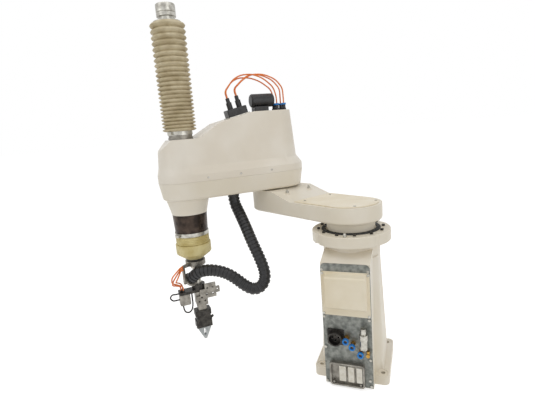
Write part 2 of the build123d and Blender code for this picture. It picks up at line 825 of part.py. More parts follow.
# Screws round the cover's skirt.
skirt_screw_radius = 3.5
skirt_screw_rise = 2
skirt_screw_height = 12
skirt_screw_spots = [(60, 1), (175, 1), (290, 1), (60, -1), (175, -1), (290, -1)]
flare = (arm_2_root_radius - arm_2_tip_radius) / arm_2_length
side_turn = Vector(flare, cos(flare), 0)
with BuildPart() as arm_2_cover_screws:
    for s, side in skirt_screw_spots:
        reach = arm_2_root_radius / side_turn.Y - s * flare
        seat = arm_2_plane(seam + skirt_screw_height, s, side * reach)
        outward = forearm * flare + forearm_side * side
        with BuildSketch(Plane(seat.origin, (0, 0, 1), outward)):
            Circle(skirt_screw_radius)
        extrude(amount=skirt_screw_rise)
finish(arm_2_cover_screws, "arm_2_cover_screws")

# Bellows collar on the deck: a flanged ring round the shaft.
collar_foot_radius = 42
collar_foot_height = 8
with BuildPart() as bellows_collar:
    with BuildSketch(arm_2_plane(deck, arm_2_length)):
        Circle(collar_foot_radius)
    extrude(amount=collar_foot_height)
    with BuildSketch(arm_2_plane(deck, arm_2_length)):
        Circle(collar_radius)
    extrude(amount=collar_height)
    with BuildSketch(arm_2_plane(deck, arm_2_length)):
        Circle(bellows_bore)
    extrude(amount=collar_height, mode=Mode.SUBTRACT)
finish(bellows_collar, "bellows_collar")


def band_clamp(bottom, inner_radius, screw_angle):
    """A worm drive band with its screw housing on the outside."""
    with BuildPart() as band:
        with BuildSketch(arm_2_plane(bottom, arm_2_length)):
            Circle(inner_radius + clamp_thickness)
            Circle(inner_radius, mode=Mode.SUBTRACT)
        extrude(amount=clamp_height)
        length, width, height = clamp_screw_box
        housing = arm_2_plane(bottom + (clamp_height - height) / 2, arm_2_length).rotated((0, 0, screw_angle))
        with BuildSketch(housing):
            with Locations((inner_radius + clamp_thickness + width / 2 - 1, 0)):
                RectangleRounded(width, length, 3)
        extrude(amount=height)
    return band


upper_clamp = band_clamp(upper_bellows_bottom - clamp_height, collar_radius, 35)
finish(upper_clamp, "upper_clamp")

# Upper bellows: folds between the collar and the shaft cap.
upper_fold_pitch = upper_bellows_length / upper_fold_count
with BuildPart() as upper_bellows:
    with BuildSketch(arm_2_side(upper_bellows_bottom, arm_2_length)):
        with BuildLine():
            outline = [(bellows_bore, 0), (upper_root_radius, 0)]
            for fold in range(upper_fold_count):
                outline.append((upper_fold_radius, (fold + 0.5) * upper_fold_pitch))
                outline.append((upper_root_radius, (fold + 1) * upper_fold_pitch))
            outline.append((bellows_bore, upper_bellows_length))
            Polyline(*outline, close=True)
        make_face()
    revolve(axis=Axis(arm_2_side(0, arm_2_length).origin, (0, 0, 1)))
finish(upper_bellows, "upper_bellows")

# Shaft cap: a neck that holds the bellows' top and a round two-part head, bored for the shaft's end.
cap_groove = 2
cap_groove_height = 12
with BuildPart() as shaft_cap:
    with BuildSketch(arm_2_plane(upper_bellows_top, arm_2_length)):
        Circle(upper_root_radius)
    extrude(amount=3)
    with BuildSketch(arm_2_plane(upper_bellows_top, arm_2_length)):
        Circle(cap_neck_radius)
    extrude(amount=cap_neck_height)
    with BuildSketch(arm_2_plane(cap_bottom, arm_2_length)):
        Circle(cap_radius)
    extrude(amount=cap_height)
    fillet(shaft_cap.edges().group_by(Axis.Z)[-1], 4)
    with BuildSketch(arm_2_plane(cap_bottom + cap_groove_height, arm_2_length)):
        Circle(cap_radius)
        Circle(cap_radius - cap_groove, mode=Mode.SUBTRACT)
    extrude(amount=cap_groove, mode=Mode.SUBTRACT)
    with BuildSketch(arm_2_plane(upper_bellows_top, arm_2_length)):
        Circle(shaft_radius + running_fit)
    extrude(amount=shaft_top + running_fit - upper_bellows_top, mode=Mode.SUBTRACT)
finish(shaft_cap, "shaft_cap")

# Steel sleeve below the cone, closed at its top by the casting.
with BuildPart() as lower_sleeve:
    with BuildSketch(arm_2_side(0, arm_2_length)):
        with BuildLine():
            Polyline(
                (nut_radius + 4, sleeve_bottom),
                (sleeve_bottom_radius, sleeve_bottom),
                (sleeve_top_radius, sleeve_top),
                (nut_radius + 4, sleeve_top),
                close=True,
            )
        make_face()
    revolve(axis=Axis(arm_2_side(0, arm_2_length).origin, (0, 0, 1)))
finish(lower_sleeve, "lower_sleeve")

# Lower bellows: tight folds under a plain neck, then a smooth cup that tapers to the lower collar.
cup_wall = 2.5
with BuildPart() as lower_bellows:
    with BuildSketch(arm_2_side(0, arm_2_length)):
        with BuildLine():
            outline = [(bellows_bore, sleeve_bottom), (sleeve_bottom_radius - 2, sleeve_bottom)]
            for fold in range(lower_fold_count):
                fold_top = sleeve_bottom - fold * lower_fold_pitch
                outline.append((lower_fold_radius, fold_top - lower_fold_pitch / 2))
                outline.append((sleeve_bottom_radius - 2, fold_top - lower_fold_pitch))
            outline.append((cup_radius, cup_top - 3))
            outline.append((cup_radius - 1, cup_bottom))
            outline.append((lower_collar_radius, lower_bellows_bottom))
            outline.append((bellows_bore - 4, lower_bellows_bottom))
            outline.append((bellows_bore - 4, lower_bellows_bottom + 2 * cup_wall))
            outline.append((bellows_bore, lower_bellows_bottom + 2 * cup_wall))
            Polyline(*outline, close=True)
        make_face()
    revolve(axis=Axis(arm_2_side(0, arm_2_length).origin, (0, 0, 1)))
finish(lower_bellows, "lower_bellows")

lower_clamp = band_clamp(sleeve_bottom - seat_gap, sleeve_bottom_radius + 1.2, 30)
finish(lower_clamp, "lower_clamp")

# Lower collar: the bearing ring that keeps the bellows and the conduit holder from turning with the shaft.
with BuildPart() as lower_collar:
    with BuildSketch(tool_plane(collar_bottom)):
        Circle(lower_collar_radius)
    extrude(amount=lower_collar_height)
    chamfer(lower_collar.edges().group_by(Axis.Z)[0], 3)
    with BuildSketch(tool_plane(collar_bottom)):
        Circle(shaft_radius + running_fit)
    extrude(amount=lower_collar_height, mode=Mode.SUBTRACT)
finish(lower_collar, "lower_collar")

# Spline shaft, with a shoulder that carries the lower collar.
shoulder_radius = 19
shoulder_height = 14
with BuildPart() as spline_shaft:
    with BuildSketch(tool_plane(shaft_bottom)):
        Circle(shaft_radius)
    extrude(amount=shaft_top - shaft_bottom)
    with BuildSketch(tool_plane(collar_bottom)):
        Circle(shoulder_radius)
    extrude(amount=-shoulder_height)
    chamfer(spline_shaft.edges().group_by(Axis.Z)[-1], 1.5)
finish(spline_shaft, "spline_shaft")

# Gland under arm 2 and the link conduit that hangs from it to the holder at the shaft.
conduit_points = [
    (181, -3, arm_2_bottom - gland_height), (181, -3, 548), (173, 20, 513), (168, 48, 481), (164, 75, 449),
    (160, 99, 417), (153, 121, 384), (146, 139, 352), (141, 153, 320), (145, 163, 291), (163, 166, 269),
    (189, 157, 262), (213, 142, 276), (236, 126, 300), (263, 107, 321), (295, 88, 333), (329, 70, 336),
    (360, 50, 326), (378, 30, 300),
]
with BuildPart() as conduit_gland:
    with BuildSketch(arm_2_plane(arm_2_bottom, *conduit_points[0][:2])):
        RegularPolygon(gland_radius, 6)
    extrude(amount=-gland_height * 0.6)
    with BuildSketch(arm_2_plane(arm_2_bottom, *conduit_points[0][:2])):
        Circle(conduit_radius + 2)
    extrude(amount=-gland_height)
finish(conduit_gland, "conduit_gland")


def forearm_points(points):
    """Points given along arm 2, to its left and up, in the part's frame."""
    return [tuple(elbow + forearm * s + forearm_side * t + Vector(0, 0, z)) for s, t, z in points]


route, corners = cord_route("conduit", forearm_points(conduit_points), 2 * conduit_radius)
conduit = cord_tube(route, corners, conduit_radius)
finish(conduit, "conduit")
print("conduit volume", round(conduit.part.volume), "radius", conduit_radius)

# Holder that hangs from the lower collar and ends the conduit on a round plate.
conduit_end = Vector(*route[-1])
end_direction = (conduit_end - Vector(*route[-2])).normalized()
holder_plate_radius = 26
holder_plate_depth = 8
holder_angle = 39
holder_ring_wall = 6
holder_bar = 7
holder_bar_half_depth = 4
holder_reach = 71
holder_foot = conduit_points[-1][2] - 10
holder_along = forearm.rotate(Axis.Z, holder_angle)
holder_upright = Plane(spline_axis, holder_along, holder_along.cross(Vector(0, 0, 1)))
with BuildPart() as conduit_holder:
    with BuildSketch(Plane(conduit_end, z_dir=end_direction)):
        Circle(holder_plate_radius)
    extrude(amount=holder_plate_depth)
    with BuildSketch(tool_plane(collar_bottom)):
        Circle(lower_collar_radius + holder_ring_wall)
    extrude(amount=lower_collar_height * 0.7)
    with BuildSketch(holder_upright):
        with BuildLine():
            Polyline(
                (lower_collar_radius + 2, collar_bottom + 15),
                (holder_reach, collar_bottom + 15),
                (holder_reach, holder_foot),
                (holder_reach - holder_bar, holder_foot),
                (holder_reach - holder_bar, collar_bottom + 5),
                (lower_collar_radius + 2, collar_bottom + 2),
                close=True,
            )
        make_face()
    extrude(amount=holder_bar_half_depth, both=True)
    with BuildSketch(tool_plane(collar_bottom)):
        Circle(lower_collar_radius)
    extrude(amount=lower_collar_height, mode=Mode.SUBTRACT)
finish(conduit_holder, "conduit_holder")

# Bracket plate on the hood's slope for the connector block, and the block with its bevelled ends.
slope_angle = degrees(atan2(slope_drop, slope_run))
bracket_start = 4
bracket_length = 82
bracket_half_width = 34
bracket_sheet = 3
block_length = 74
block_height = 26
block_half_width = 27


def slope_plane(along, lift, t=0):
    """A plane on the hood's slope, along it from the crown's end."""
    down = Vector(cos(radians(slope_angle)), 0, -sin(radians(slope_angle)))
    run = forearm * down.X + Vector(0, 0, down.Z)
    normal = forearm * -down.Z + Vector(0, 0, down.X)
    foot = elbow + forearm * crown_end + Vector(0, 0, hood_top)
    return Plane(foot + run * along + normal * lift + forearm_side * t, run, normal)


with BuildPart() as top_bracket:
    with BuildSketch(slope_plane(bracket_start + bracket_length / 2, 0)):
        RectangleRounded(bracket_length, 2 * bracket_half_width, 3)
    extrude(amount=bracket_sheet)
finish(top_bracket, "top_bracket")

with BuildPart() as connector_block:
    with BuildSketch(slope_plane(bracket_start + 4 + block_length / 2, bracket_sheet)):
        RectangleRounded(block_length, 2 * block_half_width, 4)
    extrude(amount=block_height)
    chamfer(connector_block.faces().sort_by(Axis.Z)[-1].edges(), 2)
finish(connector_block, "connector_block")

# Two round plugs standing on the block.
plug_spots = [22, 57]
plug_radius = 10
plug_length = 40
with BuildPart() as cable_plugs:
    for along in plug_spots:
        with BuildSketch(slope_plane(bracket_start + along, bracket_sheet + block_height)):
            Circle(plug_radius)
        extrude(amount=plug_length * 0.6)
        with BuildSketch(slope_plane(bracket_start + along, bracket_sheet + block_height + plug_length * 0.6)):
            Circle(plug_radius - 3)
        extrude(amount=plug_length * 0.4)
finish(cable_plugs, "cable_plugs")

# Solenoid valve: a foot on the hood and a round lying body.
valve_s = 40
valve_foot_length = 54
valve_foot_width = 40
valve_foot_height = 18
valve_body_radius = 24
valve_body_length = 88
valve_axis_height = valve_foot_height + valve_body_radius - 2
valve_back = arm_2_plane(hood_top + valve_axis_height, valve_s - valve_body_length / 2).origin
with BuildPart() as solenoid_valve:
    with BuildSketch(Plane(valve_back, forearm_side, forearm)):
        Circle(valve_body_radius)
    extrude(amount=valve_body_length)
    fillet(solenoid_valve.edges().filter_by(GeomType.CIRCLE), 7)
    with BuildSketch(arm_2_plane(hood_top, valve_s + 8)):
        RectangleRounded(valve_foot_length, valve_foot_width, 3)
    extrude(amount=valve_foot_height)
finish(solenoid_valve, "solenoid_valve")

# Four push-in fittings behind the valve, with blue release rings.
top_fitting_spots = [(-14, 14), (-14, -14), (-42, 14), (-42, -14)]
top_fitting_radius = 6.5
top_fitting_nut = 9
top_fitting_length = 20
top_ring_length = 6
with BuildPart() as top_fittings:
    for s, t in top_fitting_spots:
        with BuildSketch(arm_2_plane(hood_top, s, t)):
            RegularPolygon(top_fitting_nut, 6)
        extrude(amount=8)
        with BuildSketch(arm_2_plane(hood_top, s, t)):
            Circle(top_fitting_radius)
        extrude(amount=top_fitting_length)
finish(top_fittings, "top_fittings")

with BuildPart() as top_fitting_rings:
    for s, t in top_fitting_spots:
        with BuildSketch(arm_2_plane(hood_top + top_fitting_length, s, t)):
            Circle(top_fitting_radius + 2)
        extrude(amount=top_ring_length)
finish(top_fitting_rings, "top_fitting_rings")

# Orange air lines from the plugs to the fittings, a pale tube and a black one: all lie on arm 2.
air_line_radius = 2.5
plug_lift = bracket_sheet + block_height + plug_length


def plug_top(along, t, gap=0):
    """A point over a plug's end face."""
    return tuple(slope_plane(bracket_start + along, plug_lift + gap, t).origin)


def fitting_top(spot, gap=0):
    """A point over a fitting's ring."""
    s, t = spot
    return tuple(arm_2_plane(hood_top + top_fitting_length + top_ring_length + gap, s, t).origin)


line_shapes = [
    (57, 4, top_fitting_spots[0], [(146, 8, 986), (118, 14, 1000), (76, 18, 1002), (34, 18, 986), (-4, 16, 954)]),
    (57, -4, top_fitting_spots[1], [(148, -8, 980), (118, -16, 994), (74, -22, 995), (32, -20, 980), (-6, -16, 950)]),
    (22, 4, top_fitting_spots[2], [(108, 6, 985), (76, 10, 1002), (32, 20, 1000), (-12, 24, 980), (-40, 16, 950)]),
    (22, -4, top_fitting_spots[3], [(110, -6, 984), (78, -11, 1004), (30, -18, 1004), (-18, -22, 984), (-43, -16, 950)]),
]
with BuildPart() as top_air_lines:
    for along, t, spot, middle in line_shapes:
        points = [plug_top(along, t), plug_top(along, t, 24), *forearm_points(middle)]
        points += [fitting_top(spot, 24), fitting_top(spot)]
        route, corners = cord_route("top air line", points, 2 * air_line_radius)
        add(cord_tube(route, corners, air_line_radius).part)
finish(top_air_lines, "top_air_lines")

# Tool clamp: a hub on the shaft's end, a flat plate under it and the small fittings on the plate.
tool_plate_start = -52
tool_plate_end = 74
tool_plate_half_width = 20
tool_fitting_spots = [(58, 12), (66, 4), (58, -4)]
tool_fitting_radius = 4.5
tool_fitting_height = 7
with BuildPart() as tool_clamp:
    with BuildSketch(tool_plane(hub_bottom)):
        Circle(hub_radius)
        Circle(shaft_radius, mode=Mode.SUBTRACT)
    extrude(amount=hub_height)
    with BuildSketch(tool_plane(tool_plate_bottom, (tool_plate_start + tool_plate_end) / 2)):
        RectangleRounded(tool_plate_end - tool_plate_start, 2 * tool_plate_half_width, 4)
    extrude(amount=tool_plate_sheet)
    with BuildSketch(tool_plane(hub_bottom)):
        with Locations(*tool_fitting_spots):
            Circle(tool_fitting_radius)
    extrude(amount=tool_fitting_height)
finish(tool_clamp, "tool_clamp")

# Drilled bracket plate on the tool plate's front: a wide upper part, an ear and a narrow lower part.
bracket_plate_sheet = 8
bracket_hole_radius = 3.5
bracket_holes = [(-46, -16), (-46, -40), (-26, -16), (-22, -40), (-64, -28), (-14, -62), (8, -62), (-3, -48)]
with BuildPart() as tool_bracket:
    with BuildSketch(tool_side(hub_top, 0, tool_plate_half_width)):
        with BuildLine():
            Polyline(
                (-58, 0), (-17, 0), (-17, -18), (2, -18), (2, -42), (18, -42), (18, -78), (-24, -78), (-24, -54),
                (-58, -54), (-58, -40), (-72, -40), (-72, -18), (-58, -18), close=True,
            )
        make_face()
        with Locations(*bracket_holes):
            Circle(bracket_hole_radius, mode=Mode.SUBTRACT)
    extrude(amount=-bracket_plate_sheet)
finish(tool_bracket, "tool_bracket")

# Adapter column under the tool plate, and the grey block at the plate's end.
adapter_x = -4
adapter_width = 40
adapter_top_height = 50
adapter_neck_width = 32
adapter_neck_height = 24
with BuildPart() as gripper_adapter:
    with BuildSketch(tool_plane(tool_plate_bottom, adapter_x)):
        RectangleRounded(adapter_width, 2 * tool_plate_half_width, 3)
    extrude(amount=-adapter_top_height)
    with BuildSketch(tool_plane(tool_plate_bottom - adapter_top_height, adapter_x)):
        RectangleRounded(adapter_neck_width, 1.5 * tool_plate_half_width, 3)
    extrude(amount=-adapter_neck_height)
finish(gripper_adapter, "gripper_adapter")

block_x = 55
side_block_width = 38
side_block_depth = 28
side_block_height = 42
with BuildPart() as tool_block:
    with BuildSketch(tool_plane(tool_plate_bottom, block_x, 3)):
        RectangleRounded(side_block_width, side_block_depth, 3)
    extrude(amount=-side_block_height)
    chamfer(tool_block.edges().group_by(Axis.Z)[0], 3)
finish(tool_block, "tool_block")

# Gripper body: a waisted housing with a guide slot below for the two fingers and a small side lever.
gripper_top = tool_plate_bottom - adapter_top_height - adapter_neck_height
gripper_height = 68
gripper_width = 60
gripper_depth = 38
gripper_bottom = gripper_top - gripper_height
guide_width = 16
guide_depth = 8
with BuildPart() as gripper_body:
    with BuildSketch(tool_plane(gripper_top, adapter_x)):
        RectangleRounded(gripper_width, gripper_depth, 5)
    extrude(amount=-gripper_height)
    with BuildSketch(tool_side(gripper_top, adapter_x, 0)):
        with Locations((-gripper_width / 2 + 1, -gripper_height * 0.45), (gripper_width / 2 - 1, -gripper_height * 0.45)):
            Rectangle(6, 20)
    extrude(amount=gripper_depth, both=True, mode=Mode.SUBTRACT)
    with BuildSketch(tool_plane(gripper_bottom, adapter_x)):
        Rectangle(gripper_width, guide_width + 2 * running_fit)
    extrude(amount=guide_depth, mode=Mode.SUBTRACT)
    with BuildSketch(tool_side(gripper_bottom + 20, adapter_x - gripper_width / 2, 0)):
        with BuildLine():
            Polyline((2, 0), (-9, 8), (-9, 13), (2, 9), close=True)
        make_face()
    extrude(amount=5, both=True)
finish(gripper_body, "gripper_body")

# Two tapered fingers whose keys run in the gripper's slot.
finger_width = 24
finger_length = 50
finger_tip = 4
finger_half_depth = 9
for side, name in ((-1, "finger_right"), (1, "finger_left")):
    with BuildPart() as finger:
        with BuildSketch(tool_side(gripper_bottom, adapter_x, 0)):
            with BuildLine():
                near = side * finger_gap / 2
                Polyline(
                    (near, 0),
                    (near + side * finger_width, 0),
                    (near + side * finger_width, -8),
                    (near + side * finger_tip, -finger_length),
                    (near, -finger_length),
                    (near, -finger_length + 12),
                    (near + side * 3, -finger_length + 16),
                    (near + side * 3, -12),
                    (near, -8),
                    close=True,
                )
            make_face()
        extrude(amount=finger_half_depth, both=True)
        with BuildSketch(tool_plane(gripper_bottom, adapter_x + near + side * (finger_width / 2))):
            Rectangle(finger_width, guide_width)
        extrude(amount=guide_depth - seat_gap)
    finish(finger, name)

# Orange lines that loop from the holder to the fittings on the tool plate.
holder_outer = spline_axis + holder_along * holder_reach
tool_line_starts = [(0, 4), (0, -2), (0, -8)]
tool_line_middles = [
    [(82, 62, 344), (97, 54, 326), (98, 36, 300), (78, 18, 284)],
    [(80, 60, 334), (92, 46, 312), (96, 26, 288), (84, 8, 278)],
    [(76, 58, 324), (84, 40, 302), (79, 18, 292), (67, 0, 282)],
]
with BuildPart() as tool_air_lines:
    for (lift, drop), middle, spot in zip(tool_line_starts, tool_line_middles, tool_fitting_spots):
        start = holder_outer + Vector(0, 0, collar_bottom + 8 + drop)
        points = [tuple(start), tuple(start + holder_along * 12)]
        points += forearm_points([(arm_2_length + x, y, z) for x, y, z in middle])
        for gap in (14, 0):
            points.append(tuple(tool_plane(hub_bottom + tool_fitting_height + gap, *spot).origin))
        route, corners = cord_route("tool air line", points, 2 * air_line_radius)
        add(cord_tube(route, corners, air_line_radius).part)
finish(tool_air_lines, "tool_air_lines")

# Black cable loops of the tool: one beside the plate and one under the grey block.
tool_cable_radius = 2.6
side_block_bottom = tool_plate_bottom - side_block_height
side_face = block_x + side_block_width / 2
tool_cable_routes = [
    [
        (tool_plate_end, 6, hub_bottom - 5), (tool_plate_end + 12, 6, hub_bottom - 5),
        (tool_plate_end + 26, 9, hub_bottom - 2), (tool_plate_end + 34, 9, hub_bottom - 14),
        (tool_plate_end + 24, 8, hub_bottom - 27), (side_face + 10, 6, side_block_bottom + 24),
        (side_face, 6, side_block_bottom + 24),
    ],
    [
        (block_x + 8, 2, side_block_bottom), (block_x + 8, 2, side_block_bottom - 14),
        (block_x + 4, 3, side_block_bottom - 30), (block_x - 10, 3, side_block_bottom - 36),
        (block_x - 22, 3, side_block_bottom - 26), (block_x - 27, 2, side_block_bottom - 6),
        (block_x - 27, 2, tool_plate_bottom),
    ],
]
with BuildPart() as tool_cables:
    for middle in tool_cable_routes:
        points = forearm_points([(arm_2_length + x, y, z) for x, y, z in middle])
        route, corners = cord_route("tool cable", points, 2 * tool_cable_radius)
        add(cord_tube(route, corners, tool_cable_radius).part)
finish(tool_cables, "tool_cables")
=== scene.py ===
"""Looks of a four-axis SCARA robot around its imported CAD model: pedestal, two arms, spline and tool."""

import json
import math

import bmesh
import bpy
from mathutils import Matrix, Vector


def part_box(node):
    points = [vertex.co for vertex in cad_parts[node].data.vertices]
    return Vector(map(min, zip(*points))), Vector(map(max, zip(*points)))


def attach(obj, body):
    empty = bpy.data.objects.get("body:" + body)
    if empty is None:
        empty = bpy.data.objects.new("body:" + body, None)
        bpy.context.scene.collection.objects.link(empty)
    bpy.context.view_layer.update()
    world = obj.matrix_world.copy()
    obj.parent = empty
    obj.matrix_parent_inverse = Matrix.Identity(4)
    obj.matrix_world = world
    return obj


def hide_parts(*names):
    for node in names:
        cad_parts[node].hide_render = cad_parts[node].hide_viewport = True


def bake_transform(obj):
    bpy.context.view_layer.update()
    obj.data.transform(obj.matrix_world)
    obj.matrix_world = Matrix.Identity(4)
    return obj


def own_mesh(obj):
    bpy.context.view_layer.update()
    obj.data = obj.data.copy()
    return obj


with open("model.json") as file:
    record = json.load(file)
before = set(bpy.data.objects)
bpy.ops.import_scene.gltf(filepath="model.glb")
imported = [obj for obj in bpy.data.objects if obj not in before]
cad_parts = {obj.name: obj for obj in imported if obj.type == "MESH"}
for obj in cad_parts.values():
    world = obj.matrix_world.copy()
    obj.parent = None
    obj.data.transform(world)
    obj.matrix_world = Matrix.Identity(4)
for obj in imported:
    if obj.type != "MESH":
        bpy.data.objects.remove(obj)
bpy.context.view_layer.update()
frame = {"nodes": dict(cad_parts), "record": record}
scene = bpy.context.scene

# The camera stands to the left of the connector panel, a little above the arms.
# It looks down by eleven degrees and is rolled by five.
camera_eye = Vector((-1.225438, -0.204501, 0.812064))
camera_yaw, camera_dip, camera_roll = 0.377, 0.186, -0.081
view_line = Vector(
    (
        math.cos(camera_dip) * math.cos(camera_yaw),
        math.cos(camera_dip) * math.sin(camera_yaw),
        -math.sin(camera_dip),
    )
)
level_right = Vector((math.sin(camera_yaw), -math.cos(camera_yaw), 0))
level_up = level_right.cross(view_line)
view_right = math.cos(camera_roll) * level_right + math.sin(camera_roll) * level_up
view_up = math.cos(camera_roll) * level_up - math.sin(camera_roll) * level_right
camera_turn = Matrix((view_right, view_up, -view_line)).transposed().to_4x4()
lens = bpy.data.cameras.new("camera")
lens.lens = 26.16
lens.sensor_width = 36
lens.sensor_fit = "HORIZONTAL"
camera = bpy.data.objects.new("camera", lens)
camera.matrix_world = Matrix.Translation(camera_eye) @ camera_turn
scene.collection.objects.link(camera)
scene.camera = camera
scene.view_settings.view_transform = "Standard"


# Studio: a pale floor that keeps the robot's shadow, an even white surround, and three large soft lamps.
# The surround shows white to the lens, in metal and through clear plastic, and lights the robot less.
def srgb(code):
    """A colour written as RRGGBB in sRGB, as the linear values that a shader takes."""
    parts = [int(code[i : i + 2], 16) / 255 for i in (0, 2, 4)]
    return (*[c / 12.92 if c <= 0.04045 else ((c + 0.055) / 1.055) ** 2.4 for c in parts], 1)


def add_node(tree, kind, settings=None, sockets=None):
    """One node with its settings, and each socket's value or the output that feeds it."""
    node = tree.nodes.new(kind)
    for name, value in (settings or {}).items():
        setattr(node, name, value)
    for name, value in (sockets or {}).items():
        if isinstance(value, bpy.types.NodeSocket):
            tree.links.new(value, node.inputs[name])
        else:
            node.inputs[name].default_value = value
    return node


def seen_as_white(tree):
    """1 for a ray from the lens, or one that metal or clear plastic passes on."""
    path = add_node(tree, "ShaderNodeLightPath")
    glossy = add_node(
        tree,
        "ShaderNodeMath",
        {"operation": "MAXIMUM"},
        {0: path.outputs["Is Camera Ray"], 1: path.outputs["Is Glossy Ray"]},
    )
    return add_node(
        tree,
        "ShaderNodeMath",
        {"operation": "MAXIMUM"},
        {0: glossy.outputs[0], 1: path.outputs["Is Transmission Ray"]},
    ).outputs[0]


surround = bpy.data.worlds.new("studio surround")
surround.use_nodes = True
surround_tree = surround.node_tree
surround_tree.nodes.clear()
surround_light = 0.55
strength = add_node(
    surround_tree,
    "ShaderNodeMapRange",
    sockets={"Value": seen_as_white(surround_tree), "To Min": surround_light, "To Max": 1.0},
)
surround_glow = add_node(
    surround_tree,
    "ShaderNodeBackground",
    sockets={"Color": srgb("FFFFFF"), "Strength": strength.outputs["Result"]},
)
add_node(surround_tree, "ShaderNodeOutputWorld", sockets={"Surface": surround_glow.outputs[0]})
scene.world = surround

floor_half = 40
floor_drop = 0.0005
floor_white = 0.56
floor_mesh = bpy.data.meshes.new("studio_floor")
floor_mesh.from_pydata(
    [(x * floor_half, y * floor_half, -floor_drop) for x, y in ((-1, -1), (1, -1), (1, 1), (-1, 1))],
    [],
    [(0, 1, 2, 3)],
)
floor_finish = bpy.data.materials.new("matte white floor paper")
floor_finish.use_nodes = True
floor_tree = floor_finish.node_tree
floor_shader = floor_tree.nodes["Principled BSDF"]
floor_shader.inputs["Base Color"].default_value = srgb("F4F3F1")
floor_shader.inputs["Roughness"].default_value = 0.9
floor_shader.inputs["Specular IOR Level"].default_value = 0.0
floor_shader.inputs["Emission Color"].default_value = srgb("FFFFFF")
floor_glow = add_node(
    floor_tree,
    "ShaderNodeMapRange",
    sockets={"Value": seen_as_white(floor_tree), "To Min": 0.0, "To Max": floor_white},
)
floor_tree.links.new(floor_glow.outputs["Result"], floor_shader.inputs["Emission Strength"])
floor_mesh.materials.append(floor_finish)
floor = bpy.data.objects.new("studio_floor", floor_mesh)
scene.collection.objects.link(floor)

# The columns are name, place, the point it is turned to, width in metres and power in watts.
lamps = (
    ("ceiling_lamp", (-0.5, 0.2, 3.2), (0, 0.2, 0.6), 2.6, 20),
    ("window_lamp", (-2.6, 2.2, 1.6), (0, 0.4, 0.7), 1.8, 9),
    ("side_lamp", (-1.6, -2.4, 1.4), (0, 0.0, 0.4), 1.6, 11),
)
for lamp_name, spot, aim, width, power in lamps:
    lamp_data = bpy.data.lights.new(lamp_name, "AREA")
    lamp_data.size = width
    lamp_data.energy = power
    lamp = bpy.data.objects.new(lamp_name, lamp_data)
    lamp.location = spot
    lamp.rotation_euler = (Vector(aim) - Vector(spot)).to_track_quat("-Z", "Y").to_euler()
    scene.collection.objects.link(lamp)


# Pedestal casting: sand cast aluminium with cream polyester powder coat, its sharp edges broken by the coat.
# The coat is satin, with a faint orange peel and slight yellowing in patches.
def new_finish(name, colour, roughness, metallic=0.0):
    """A finish's material, its node tree, its shader and the place on the object, in metres."""
    finish = bpy.data.materials.new(name)
    finish.use_nodes = True
    tree = finish.node_tree
    shader = tree.nodes["Principled BSDF"]
    shader.inputs["Base Color"].default_value = srgb(colour)
    shader.inputs["Roughness"].default_value = roughness
    shader.inputs["Metallic"].default_value = metallic
    return finish, tree, shader, add_node(tree, "ShaderNodeTexCoord").outputs["Object"]


patch_edges = (0.36, 0.64)
patch_detail = 3.0
gloss_edges = (0.3, 0.7)


def drift_colour(tree, shader, place, shades, size_mm):
    """Let the colour drift from one shade to the next in soft patches of about that size."""
    patches = add_node(
        tree,
        "ShaderNodeTexNoise",
        sockets={"Vector": place, "Scale": 1000 / size_mm, "Detail": patch_detail},
    )
    ramp = add_node(tree, "ShaderNodeValToRGB", sockets={"Fac": patches.outputs["Fac"]})
    ramp.color_ramp.elements[0].position = patch_edges[0]
    ramp.color_ramp.elements[0].color = srgb(shades[0])
    ramp.color_ramp.elements[1].position = patch_edges[1]
    ramp.color_ramp.elements[1].color = srgb(shades[1])
    tree.links.new(ramp.outputs["Color"], shader.inputs["Base Color"])


def drift_gloss(tree, shader, place, size_mm, low, high):
    """Let the roughness drift between two values in patches of about that size."""
    patches = add_node(tree, "ShaderNodeTexNoise", sockets={"Vector": place, "Scale": 1000 / size_mm})
    spread = add_node(
        tree,
        "ShaderNodeMapRange",
        sockets={
            "Value": patches.outputs["Fac"],
            "From Min": gloss_edges[0],
            "From Max": gloss_edges[1],
            "To Min": low,
            "To Max": high,
        },
    )
    tree.links.new(spread.outputs["Result"], shader.inputs["Roughness"])


def raise_grain(tree, shader, place, size_mm, height_mm):
    """A fine random relief of that grain size and height."""
    grain = add_node(tree, "ShaderNodeTexNoise", sockets={"Vector": place, "Scale": 1000 / size_mm})
    relief = add_node(
        tree,
        "ShaderNodeBump",
        sockets={"Height": grain.outputs["Fac"], "Distance": height_mm / 1000, "Strength": 1.0},
    )
    tree.links.new(relief.outputs["Normal"], shader.inputs["Normal"])


powder_coat, tree, shader, place = new_finish("cream powder coat on cast aluminium", "E7DFCF", 0.4)
drift_colour(tree, shader, place, ("E3DAC7", "EAE3D5"), 180)
drift_gloss(tree, shader, place, 60, 0.34, 0.5)
raise_grain(tree, shader, place, 5, 0.06)


def link_up(name, mesh, finish, body, smooth_degrees=35):
    """Put a finished mesh in the scene, smooth up to that crease angle, on its body."""
    mesh.materials.clear()
    mesh.materials.append(finish)
    for face in mesh.polygons:
        face.use_smooth = True
    mesh.set_sharp_from_angle(angle=math.radians(smooth_degrees))
    piece = bpy.data.objects.new(name, mesh)
    scene.collection.objects.link(piece)
    if body:
        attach(piece, body)
    return piece


def settled(piece):
    """Turn a piece with modifiers into a plain mesh that looks the same."""
    bpy.context.view_layer.update()
    mesh = bpy.data.meshes.new_from_object(piece.evaluated_get(bpy.context.evaluated_depsgraph_get()))
    mesh.name = piece.name
    piece.modifiers.clear()
    piece.data = mesh
    return piece


weld_distance = 2e-6
flat_degrees = 0.8


